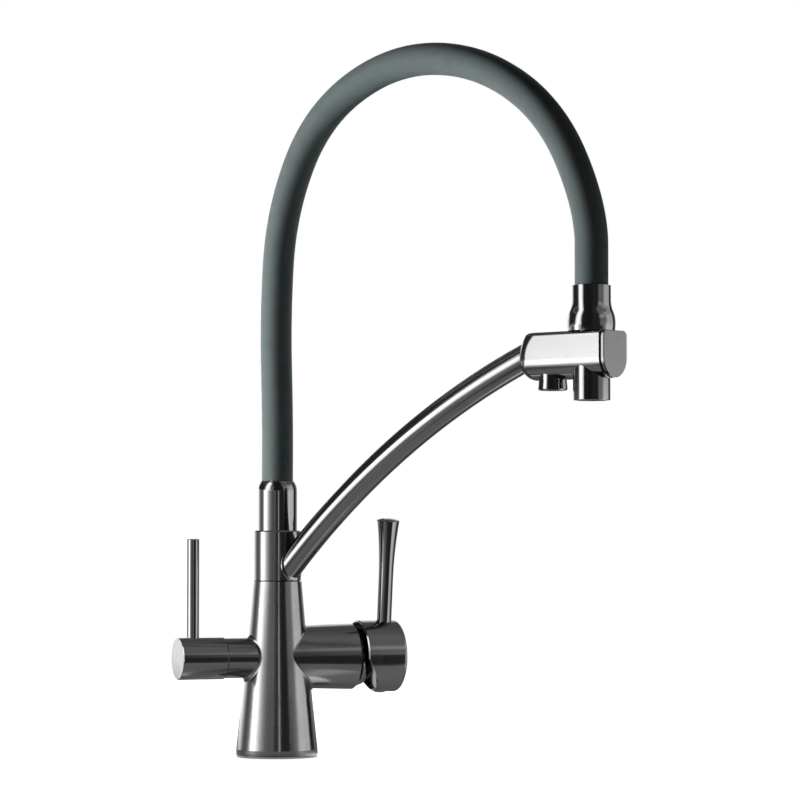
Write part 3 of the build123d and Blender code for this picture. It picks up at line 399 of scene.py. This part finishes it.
def coated_metal(name, axis_of, roughness, anisotropy=0.0, lines=0.25, tint=gunmetal):
    """Dark coated metal, brushed round an axis, with faint smears and a painted highlight of lighter metal
    on its corners.
    """
    paint, tree = empty_paint(name)
    place, axis, outward, across = round_axis(tree, axis_of)
    brushed = use(tree, brush, {"Across": across, "Place": place})
    smear = use(tree, handling, {"Place": place, "Size": 0.017})["Smear"]
    edge_highlight_mask = use(tree, painted_edge_highlight, {"Place": place, "Radius": 0.0004})["Painted_Highlight"]
    grain = add(tree, "ShaderNodeMapRange",
                {"Value": brushed["Band"], "To Min": -0.03, "To Max": 0.03}).outputs[0]
    softer = sum_up(tree, "MULTIPLY", smear, 0.035)
    rough = sum_up(tree, "ADD", sum_up(tree, "ADD", grain, softer), roughness)
    duller = (*[0.93 * part for part in tint], 1)
    dulled = add(tree, "ShaderNodeMix", {"Factor": smear, 6: (*tint, 1), 7: duller},
                 data_type="RGBA").outputs[2]
    # Painted edge highlight: the corners are mixed halfway towards the lighter grey.
    highlight_share = sum_up(tree, "MULTIPLY", edge_highlight_mask, 0.5)
    highlighted_tone = add(tree, "ShaderNodeMix", {"Factor": highlight_share, 6: dulled, 7: edge_highlight_tint},
                data_type="RGBA").outputs[2]
    relief = add(tree, "ShaderNodeBump",
                 {"Height": brushed["Height"], "Strength": lines, "Distance": relief_depth})
    lean = scaled(tree, arrow(tree, "NORMALIZE", outward), 0.2)
    streak = add(tree, "ShaderNodeVectorTransform", {0: arrow(tree, "ADD", axis, lean)},
                 vector_type="VECTOR", convert_from="OBJECT", convert_to="WORLD").outputs[0]
    surface = add(tree, "ShaderNodeBsdfPrincipled",
                  {"Base Color": highlighted_tone, "Metallic": 1.0, "Roughness": rough, "Anisotropic": anisotropy,
                   "Normal": relief.outputs[0], "Tangent": streak})
    add(tree, "ShaderNodeOutputMaterial", {"Surface": surface.outputs[0]})
    return paint


def straight_axis(point, direction):
    """An axis through a point, as the metals take it."""
    def axis_of(tree, place):
        fixed = add(tree, "ShaderNodeCombineXYZ", dict(enumerate(direction))).outputs[0]
        return arrow(tree, "SUBTRACT", place, point), fixed
    return axis_of


def body_axis(tree, place):
    """Upright on the cone, and level on the two branches."""
    from_axis = arrow(tree, "SUBTRACT", place, (0, 0, valve_height))
    parts = add(tree, "ShaderNodeSeparateXYZ", {"Vector": place}).outputs
    narrowing = sum_up(tree, "MULTIPLY", parts["Z"], cone_slope)
    cone = sum_up(tree, "SUBTRACT", cone_foot_radius + blend_height, narrowing)
    sideways = add(tree, "ShaderNodeCombineXYZ", {0: parts["X"], 1: parts["Y"]}).outputs[0]
    beyond = sum_up(tree, "SUBTRACT", span_of(tree, "LENGTH", sideways), cone)
    on_branch = add(tree, "ShaderNodeMapRange",
                    {"Value": beyond, "From Min": -0.0002, "From Max": 0.0016}).outputs[0]
    on_cone = add(tree, "ShaderNodeCombineXYZ", {2: sum_up(tree, "SUBTRACT", 1.0, on_branch)}).outputs[0]
    aside = add(tree, "ShaderNodeCombineXYZ", {0: on_branch}).outputs[0]
    return from_axis, arrow(tree, "NORMALIZE", arrow(tree, "ADD", on_cone, aside))


def dress(name, paint):
    """Gives a piece of the tap its finish."""
    mesh = nodes[name].data
    mesh.materials.clear()
    mesh.materials.append(paint)


dress("body_casting", coated_metal("body_finish", body_axis, roughness=0.14, anisotropy=0.4, lines=0.2))


# Rubber parts, black rings moulded in a split tool: the gasket under the foot, the round seals of the swivel
# and the valves, and the flat washers in the outlets. They keep the fine bloom of a moulding.
pore_depth = 0.00005


def matt_part(name, tint, roughness, grain, relief, shine=0.5, light=0.0):
    """A moulded or pressed part with a fine grain and cloudy tone. light lets some light through it."""
    paint, tree = empty_paint(name)
    place = add(tree, "ShaderNodeTexCoord", {}).outputs["Object"]
    pores = add(tree, "ShaderNodeTexNoise",
                {"Vector": place, "Scale": 1 / grain, "Detail": 3.0}).outputs["Fac"]
    cloud = use(tree, handling, {"Place": place, "Size": 0.008})["Smear"]
    deeper = (*[0.93 * part for part in tint], 1)
    tone = add(tree, "ShaderNodeMix", {"Factor": cloud, 6: (*tint, 1), 7: deeper},
               data_type="RGBA").outputs[2]
    spread = add(tree, "ShaderNodeMapRange",
                 {"Value": pores, "To Min": roughness - 0.08, "To Max": roughness + 0.08})
    bump = add(tree, "ShaderNodeBump", {"Height": pores, "Strength": relief, "Distance": pore_depth})
    surface = add(tree, "ShaderNodeBsdfPrincipled",
                  {"Base Color": tone, "Roughness": spread.outputs[0], "Specular IOR Level": shine,
                   "Subsurface Weight": light, "Subsurface Scale": 0.002, "Normal": bump.outputs[0]})
    add(tree, "ShaderNodeOutputMaterial", {"Surface": surface.outputs[0]})
    return paint


rubber = matt_part("seal_rubber", (0.018, 0.018, 0.019), roughness=0.55, grain=0.0003, relief=0.3)
for name in ("base_gasket", "swivel_seals", "cartridge_port_seals", "filter_headpart_seal",
             "filter_seat_seal", "filter_spindle_seal", "aerator_washer", "filtered_outlet_washer"):
    dress(name, rubber)


# Brass parts, turned from bar and left as machined: the swivel post, the cartridge nut, the filter headpart
# and spindle and the square stem. The screws, the pin, the crimps and the two hose fittings are stainless
# steel.
brass = (0.72, 0.52, 0.25)
steel = (0.50, 0.49, 0.48)


def bare_metal(name, axis_of, tint, roughness):
    """Metal as it comes off the lathe, with feed marks round its axis and a little tarnish."""
    paint, tree = empty_paint(name)
    place, axis, outward, across = round_axis(tree, axis_of)
    brushed = use(tree, brush, {"Across": across, "Place": place})
    tarnish = use(tree, handling, {"Place": place, "Size": 0.006})["Smear"]
    duller = (*[0.7 * part for part in tint], 1)
    tone = add(tree, "ShaderNodeMix", {"Factor": tarnish, 6: (*tint, 1), 7: duller},
               data_type="RGBA").outputs[2]
    rough = add(tree, "ShaderNodeMapRange",
                {"Value": brushed["Band"], "To Min": roughness - 0.06, "To Max": roughness + 0.1}).outputs[0]
    bump = add(tree, "ShaderNodeBump",
               {"Height": brushed["Height"], "Strength": 0.4, "Distance": relief_depth})
    surface = add(tree, "ShaderNodeBsdfPrincipled",
                  {"Base Color": tone, "Metallic": 1.0, "Roughness": rough, "Normal": bump.outputs[0]})
    add(tree, "ShaderNodeOutputMaterial", {"Surface": surface.outputs[0]})
    return paint


upright = (0, 0, 1)
level = (1, 0, 0)
swivel_axis = straight_axis((0, 0, 0), upright)
valve_axis = straight_axis((0, 0, valve_height), level)
brass_upright = bare_metal("brass_turned_upright", swivel_axis, brass, roughness=0.28)
brass_level = bare_metal("brass_turned_level", valve_axis, brass, roughness=0.28)
steel_upright = bare_metal("steel_turned_upright", swivel_axis, steel, roughness=0.25)
dress("swivel_spigot", brass_upright)
for name in ("cartridge_nut", "filter_headpart", "filter_spindle", "mixer_stem"):
    dress(name, brass_level)
for name in ("collar_set_screw", "mixer_cap_screw", "filter_drum_screw", "cartridge_pivot_pin",
             "hose_crimps", "lower_hose_fitting", "upper_hose_fitting"):
    dress(name, steel_upright)


# Plastic parts, white acetal for what slides or guides water, and buff glass-filled nylon for the cartridge.
# The slide ring under the collar shows as a thin line, so it is black acetal. The four ceramic discs are
# lapped white alumina, dense and nearly mirror flat.
acetal = matt_part("bearing_acetal", (0.80, 0.80, 0.78), roughness=0.38, grain=0.0004, relief=0.15,
                   light=0.1)
black_acetal = matt_part("black_acetal", (0.03, 0.03, 0.031), roughness=0.4, grain=0.0004, relief=0.15)
nylon = matt_part("cartridge_nylon", (0.60, 0.57, 0.51), roughness=0.5, grain=0.0002, relief=0.3)
alumina = matt_part("lapped_alumina", (0.88, 0.87, 0.84), roughness=0.16, grain=0.0001, relief=0.03)
for name in ("swivel_bushes", "aerator_body", "aerator_jet_disc", "filtered_outlet_insert"):
    dress(name, acetal)
dress("swivel_slide_ring", black_acetal)
for name in ("cartridge_base", "cartridge_shell", "cartridge_rotor", "cartridge_disc_carrier"):
    dress(name, nylon)
for name in ("cartridge_fixed_disc", "cartridge_moving_disc", "filter_fixed_disc", "filter_moving_disc"):
    dress(name, alumina)


# Mixer cap and its lever, turned brass under the same coating. The cap is brushed round its axis, like the
# dome under it, and the lever and the small plug below are polished before they are coated.
mixer_turn = radians(6.6)
mixer_lean = (0, -sin(mixer_turn), cos(mixer_turn))


def middle_of(name):
    """The middle of a piece's box."""
    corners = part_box(name)
    return (Vector(corners[0]) + Vector(corners[1])) / 2


lever_axis = straight_axis((middle_of("mixer_lever").x, 0, valve_height), mixer_lean)
dress("mixer_cap", coated_metal("mixer_cap_finish", valve_axis, roughness=0.15, anisotropy=0.4, lines=0.2))
dress("mixer_dome_ring", coated_metal("dome_finish", valve_axis, roughness=0.14))
dress("mixer_lever", coated_metal("mixer_lever_finish", lever_axis, roughness=0.06, anisotropy=0.2,
                                  lines=0.02))
dress("mixer_cap_plug", coated_metal("plug_finish", lever_axis, roughness=0.12, lines=0.1))


# Filter drum and its rod, turned brass with the coating of the body. The drum is brushed round its axis,
# and the rod is polished stock, pressed into a hole in it.
rod_axis = straight_axis((middle_of("filter_lever").x, 0, 0), upright)
dress("filter_drum", coated_metal("filter_drum_finish", valve_axis, roughness=0.14, anisotropy=0.4,
                                  lines=0.2))
dress("filter_lever", coated_metal("filter_lever_finish", rod_axis, roughness=0.06, anisotropy=0.2,
                                   lines=0.02))

# The rod stands close beside the body, and the photograph shows no image of it there.
nodes["filter_lever"].visible_glossy = False


# Swivel collar, turned brass that carries the arm, brushed like the cone below it.
# The arm is drawn tube, bent to one arc, brazed into the collar and finished by a wheel that ran round it.
spout_rest_angle = radians(-61.5)
spout_turn = Matrix.Rotation(spout_rest_angle, 3, "Z")
arm_root = Vector((0, 0, 0.1055))
arm_end = Vector((0.206, 0, 0.243))
arm_bow = 0.0143
arm_chord = arm_end - arm_root
arm_arc_radius = (arm_chord.length ** 2 / 4 + arm_bow ** 2) / (2 * arm_bow)
chord_side = Vector((arm_chord.z, 0, -arm_chord.x)).normalized()
arm_arc_centre = spout_turn @ ((arm_root + arm_end) / 2 + chord_side * (arm_arc_radius - arm_bow))
spout_side = spout_turn @ Vector((0, 1, 0))


def arm_axis(tree, place):
    """Along the arm's arc. The place is counted from the nearest point of its centre line."""
    from_centre = arrow(tree, "SUBTRACT", place, arm_arc_centre)
    aside = span_of(tree, "DOT_PRODUCT", from_centre, spout_side)
    side = add(tree, "ShaderNodeCombineXYZ", dict(enumerate(spout_side))).outputs[0]
    in_plane = arrow(tree, "NORMALIZE", arrow(tree, "SUBTRACT", from_centre, scaled(tree, side, aside)))
    direction = arrow(tree, "CROSS_PRODUCT", side, in_plane)
    nearest = arrow(tree, "ADD", scaled(tree, in_plane, arm_arc_radius), arm_arc_centre)
    rise = span_of(tree, "DOT_PRODUCT", place, upright)
    from_line = arrow(tree, "SUBTRACT", place, nearest)
    return arrow(tree, "ADD", from_line, scaled(tree, direction, rise)), direction


dress("swivel_collar", coated_metal("collar_finish", swivel_axis, roughness=0.14, anisotropy=0.4, lines=0.2))
dress("spout_arm", coated_metal("arm_finish", arm_axis, roughness=0.12, anisotropy=0.5, lines=0.15))


# Ferrules, turned brass sleeves with a polished coating, one on the collar and a bell on the head.
# Each has its own upright axis, and both move with the spout.
spout_reach = 0.2408
nozzle_axis = straight_axis(spout_turn @ Vector((spout_reach, 0, 0)), upright)
dress("lower_ferrule", coated_metal("lower_ferrule_finish", swivel_axis, roughness=0.09, anisotropy=0.2,
                                    lines=0.03))
dress("upper_ferrule", coated_metal("upper_ferrule_finish", nozzle_axis, roughness=0.09, anisotropy=0.2,
                                    lines=0.03))


# Silicone hose, extruded in one length round the inner hose and held in a ferrule at each end.
# It bends in the plane of the spout, so its route is given as reach and height in that plane.
hose_radius = 0.0096
hose_route = [
    (0.0, 0.1450), (0.0, 0.1660), (0.0002, 0.2080), (-0.0019, 0.2710), (0.0030, 0.3355),
    (0.0329, 0.3929), (0.0927, 0.4216), (0.1576, 0.4156), (0.2121, 0.3806), (0.2410, 0.3223),
    (0.2409, 0.2792), (0.2408, 0.2582),
]

curve = bpy.data.curves.new("hose_line", "CURVE")
curve.dimensions = "3D"
line = curve.splines.new("NURBS")
line.points.add(len(hose_route) - 1)
for point, (reach, height) in zip(line.points, hose_route):
    point.co = (*(spout_turn @ Vector((reach, 0, height))), 1)
line.order_u = 3
line.use_endpoint_u = True
line.resolution_u = 16
curve.bevel_depth = hose_radius
curve.bevel_resolution = 14
curve.use_fill_caps = True
drawn = bpy.data.objects.new("hose_line", curve)
scene.collection.objects.link(drawn)
bpy.context.view_layer.update()
mesh = bpy.data.meshes.new_from_object(drawn.evaluated_get(bpy.context.evaluated_depsgraph_get()))
bpy.data.objects.remove(drawn)
shape = bmesh.new()
shape.from_mesh(mesh)
bmesh.ops.remove_doubles(shape, verts=shape.verts[:], dist=0.00001)
bmesh.ops.recalc_face_normals(shape, faces=shape.faces[:])
for face in shape.faces:
    face.smooth = len(face.verts) == 4
shape.to_mesh(mesh)
shape.free()
mesh.name = "silicone_hose_skin"
hose = bpy.data.objects.new("silicone_hose_skin", mesh)
scene.collection.objects.link(hose)
silicone = matt_part("hose_silicone", (0.110, 0.134, 0.133), roughness=0.62, grain=0.0005, relief=0.12,
                     shine=0.1)
hose.data.materials.clear()
hose.data.materials.append(silicone)
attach(hose, "spout")
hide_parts("silicone_hose")


# Inner hose, smooth food-grade tube that carries the mixed water inside the silicone.
# It is pushed on the stem of a fitting at each end and held there by a crimped sleeve.
inner_tube = matt_part("inner_tube", (0.74, 0.75, 0.73), roughness=0.3, grain=0.0006, relief=0.1, light=0.2)
dress("inner_hose", inner_tube)


# Outlet head, one machined block with a bowed back end, brushed lengthwise, and the darker plate that
# closes its front end. The two outlets under it are polished sleeves, and the screens in the larger one
# are steel.
outlet_spacing = 0.0277
plate_tint = (0.150, 0.150, 0.152)
head_axis = straight_axis(middle_of("outlet_head"), spout_turn @ Vector((1, 0, 0)))
plate_axis = straight_axis(middle_of("head_end_plate"), upright)
filtered_axis = straight_axis(spout_turn @ Vector((spout_reach - outlet_spacing, 0, 0)), upright)
dress("outlet_head", coated_metal("head_finish", head_axis, roughness=0.13, lines=0.15))
dress("head_end_plate", coated_metal("plate_finish", plate_axis, roughness=0.15, lines=0.2, tint=plate_tint))
dress("main_nozzle", coated_metal("nozzle_finish", nozzle_axis, roughness=0.08, anisotropy=0.2, lines=0.03))
dress("filtered_outlet", coated_metal("filtered_outlet_finish", filtered_axis, roughness=0.08,
                                      anisotropy=0.2, lines=0.03))
dress("aerator_screens", steel_upright)
